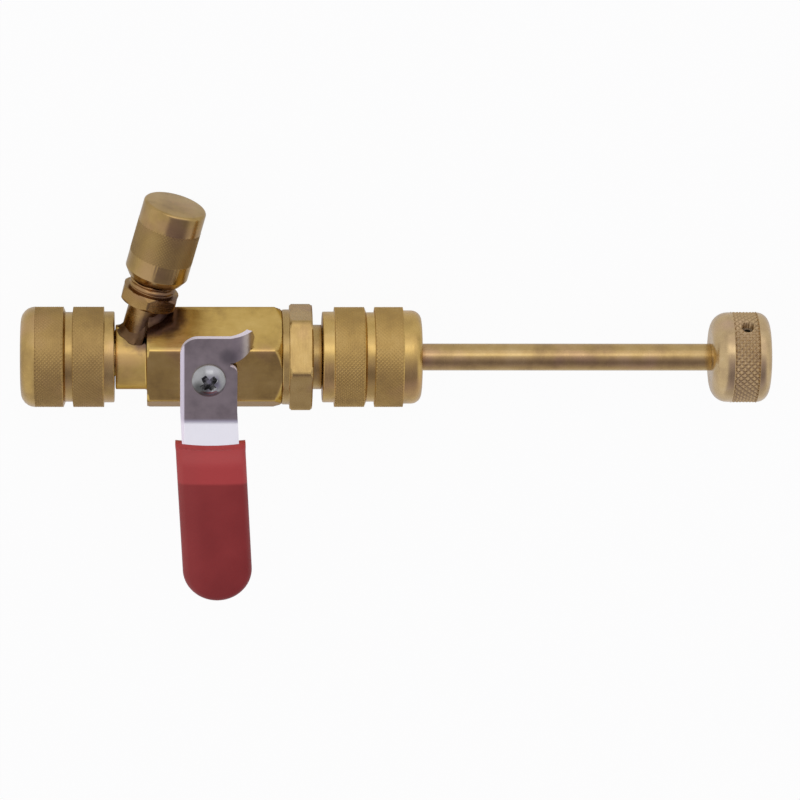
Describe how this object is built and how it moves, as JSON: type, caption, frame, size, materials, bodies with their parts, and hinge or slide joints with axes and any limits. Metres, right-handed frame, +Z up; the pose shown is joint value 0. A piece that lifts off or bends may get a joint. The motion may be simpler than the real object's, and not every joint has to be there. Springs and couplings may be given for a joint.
{
  "type": "valve core remover",
  "caption": "Brass tool that takes the core out of a refrigerant service valve under pressure: a ball valve with lever, capped side port, swivel coupler nut and sliding rod.",
  "frame": {"origin": "mouth of the inlet nut, on the tool axis, 0.8 mm outside the start of its thread", "axes": "+X along the tool from the inlet nut to the knob, +Z up with the lever on top, +Y to the side port's side; the tool lies rolled 7.8 degrees onto the cap of its side port"},
  "size_m": [0.1764, 0.0919, 0.04],
  "materials": {
    "brass": "machined, unlacquered",
    "chrome": "polished plating",
    "steel": "bright zinc",
    "red_vinyl": "soft satin vinyl",
    "seat_plastic": "turned",
    "rubber": "matte"
  },
  "bodies": {
    "valve": {"valve_body": "brass", "ball_seat_inlet": "seat_plastic", "ball_seat_outlet": "seat_plastic", "stem_thrust_washer": "seat_plastic", "outlet_adapter": "brass", "adapter_o_ring": "rubber", "side_port_fitting": "brass", "port_core_body": "brass", "port_core_seal": "seat_plastic", "port_core_spring": "steel", "inlet_gasket": "rubber", "inlet_retaining_ring": "steel"},
    "handle": {"handle_lever": "steel", "handle_grip": "red_vinyl", "handle_screw": "steel", "valve_stem": "brass", "stem_o_ring": "rubber", "ball": "chrome"},
    "inlet_coupler": {"inlet_nut": "brass"},
    "gland": {"rod_gland": "brass", "gland_gasket": "rubber", "rod_o_ring_front": "rubber", "rod_o_ring_rear": "rubber"},
    "outlet_coupler": {"outlet_nut": "brass"},
    "rod_stop": {"rod_stop_ring": "steel"},
    "plunger": {"rod": "brass", "core_gripper": "brass", "gripper_magnet": "steel", "rod_knob": "brass", "knob_pin": "steel"},
    "cap_seal": {"cap_gasket": "rubber"},
    "port_cap": {"side_port_cap": "brass"},
    "core_valve": {"port_core_pin": "brass"}
  },
  "joints": [
    {"name": "handle_turn", "type": "hinge", "parent": "valve", "child": "handle", "pos_m": [0.044, 0, 0], "axis": [0, 0.1361, 0.9907], "range_deg": [0, 90]},
    {"name": "inlet_nut_swivel", "type": "hinge", "parent": "valve", "child": "inlet_coupler", "pos_m": [0, 0, 0], "axis": [1, 0, 0], "continuous": true},
    {"name": "gland_travel", "type": "slide", "parent": "valve", "child": "gland", "axis": [1, 0, 0], "range_m": [0, 0.0072]},
    {"name": "outlet_nut_turn", "type": "hinge", "parent": "gland", "child": "outlet_coupler", "pos_m": [0, 0, 0], "axis": [1, 0, 0], "range_deg": [0, 1800]},
    {"name": "rod_slide", "type": "slide", "parent": "gland", "child": "rod_stop", "axis": [1, 0, 0], "range_m": [-0.014, 0]},
    {"name": "rod_spin", "type": "hinge", "parent": "rod_stop", "child": "plunger", "pos_m": [0, 0, 0], "axis": [1, 0, 0], "continuous": true},
    {"name": "cap_lift", "type": "slide", "parent": "valve", "child": "cap_seal", "axis": [0.2588, 0.9569, -0.1315], "range_m": [0, 0.0128]},
    {"name": "cap_turn", "type": "hinge", "parent": "cap_seal", "child": "port_cap", "pos_m": [0.026, 0, 0], "axis": [0.2588, 0.9569, -0.1315], "range_deg": [0, 3600]},
    {"name": "core_pin_press", "type": "slide", "parent": "valve", "child": "core_valve", "axis": [0.2588, 0.9569, -0.1315], "range_m": [-0.0012, 0], "stiffness_N_per_m": 1000, "springref_m": 0.001, "deforming": ["port_core_spring"]}
  ],
  "couplings": [
    {"joint": "gland_travel", "follows": "outlet_nut_turn", "m_per_rad": 0.00022457},
    {"joint": "cap_lift", "follows": "cap_turn", "m_per_rad": 0.00020213}
  ]
}
